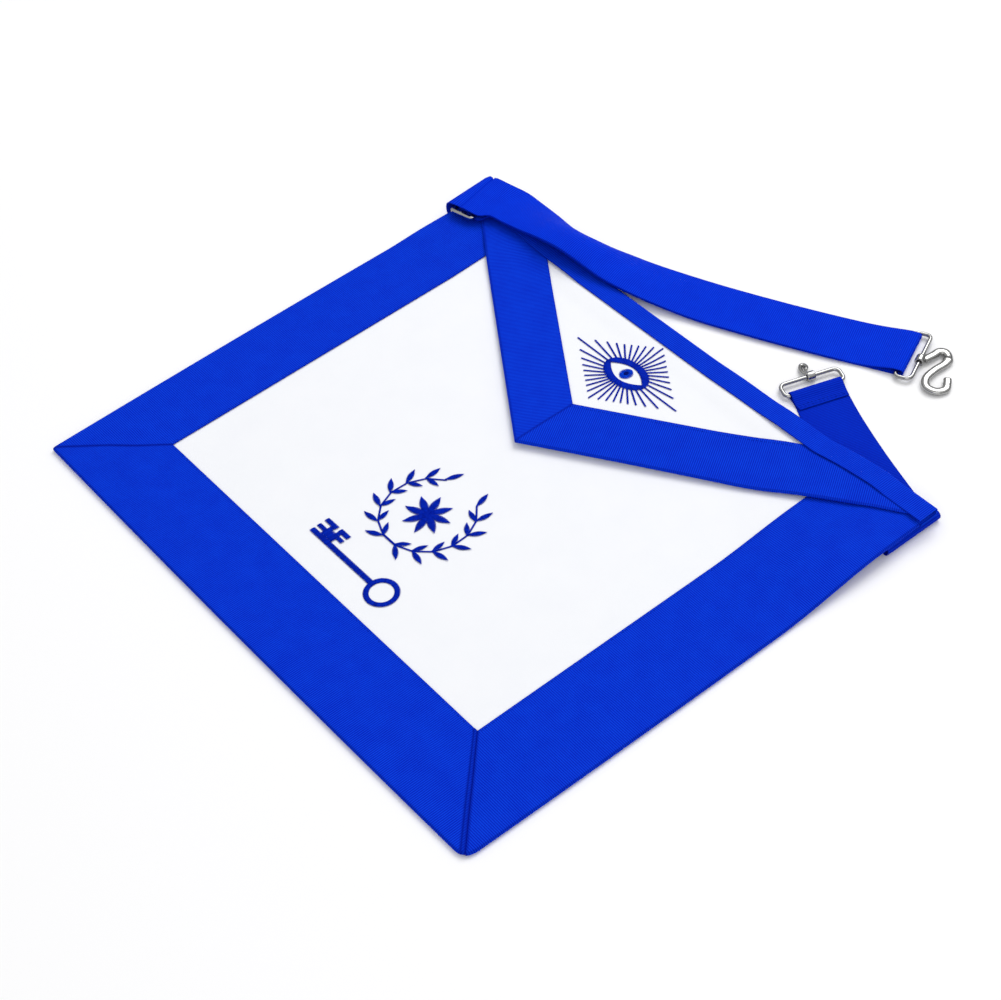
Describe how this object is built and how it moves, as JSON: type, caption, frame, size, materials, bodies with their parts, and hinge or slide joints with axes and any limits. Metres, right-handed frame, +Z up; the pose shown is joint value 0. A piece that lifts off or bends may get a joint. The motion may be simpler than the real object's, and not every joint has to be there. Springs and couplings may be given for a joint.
{
  "type": "masonic apron",
  "caption": "White cloth apron with folded-down pointed flap, broad blue ribbon borders, embroidered motifs, long belt on a slider with a snake hook, and a short strap with an eye hook.",
  "frame": {"origin": "middle of the apron body's underside, on the surface it lies on", "axes": "+X along the waist towards the short strap's corner, +Y from the foot to the waist edge, +Z up out of the front face"},
  "size_m": [0.4185, 0.4649, 0.0178],
  "materials": {
    "cloth": "smooth matt cloth",
    "ribbon": "ribbed grosgrain, slight sheen",
    "thread": "satin stitch",
    "nickel": "polished nickel plate"
  },
  "bodies": {
    "apron": {"body_panel": "cloth", "flap_panel": "cloth", "border_left": "ribbon", "border_bottom": "ribbon", "border_right": "ribbon", "flap_border_left": "ribbon", "flap_border_right": "ribbon", "waist_band": "ribbon", "short_strap": "ribbon", "long_strap": "ribbon", "slider": "nickel", "eye_rays": "thread", "eye_iris": "thread", "key_motif": "thread", "rosette": "thread", "wreath": "thread"},
    "belt_frame": {"hook_frame": "nickel"},
    "snake": {"snake_hook": "nickel"},
    "strap_frame": {"eye_frame": "nickel"},
    "eye": {"eye_hook": "nickel"}
  },
  "joints": [
    {"name": "belt_frame_swing", "type": "hinge", "parent": "apron", "child": "belt_frame", "pos_m": [0.0981, 0.26466, 0.00265], "axis": [0.4099, -0.9121, 0], "range_deg": [-90, 90]},
    {"name": "snake_hook_swing", "type": "hinge", "parent": "belt_frame", "child": "snake", "pos_m": [0.10759, 0.26892, 0.0032], "axis": [0.4099, -0.9121, 0], "range_deg": [-90, 90]},
    {"name": "strap_frame_swing", "type": "hinge", "parent": "apron", "child": "strap_frame", "pos_m": [0.0816, 0.20252, 0.00265], "axis": [0.3322, 0.9432, 0], "range_deg": [-90, 90]},
    {"name": "eye_hook_swing", "type": "hinge", "parent": "strap_frame", "child": "eye", "pos_m": [0.07179, 0.20597, 0.0032], "axis": [0.3322, 0.9432, 0], "range_deg": [-90, 90]}
  ]
}
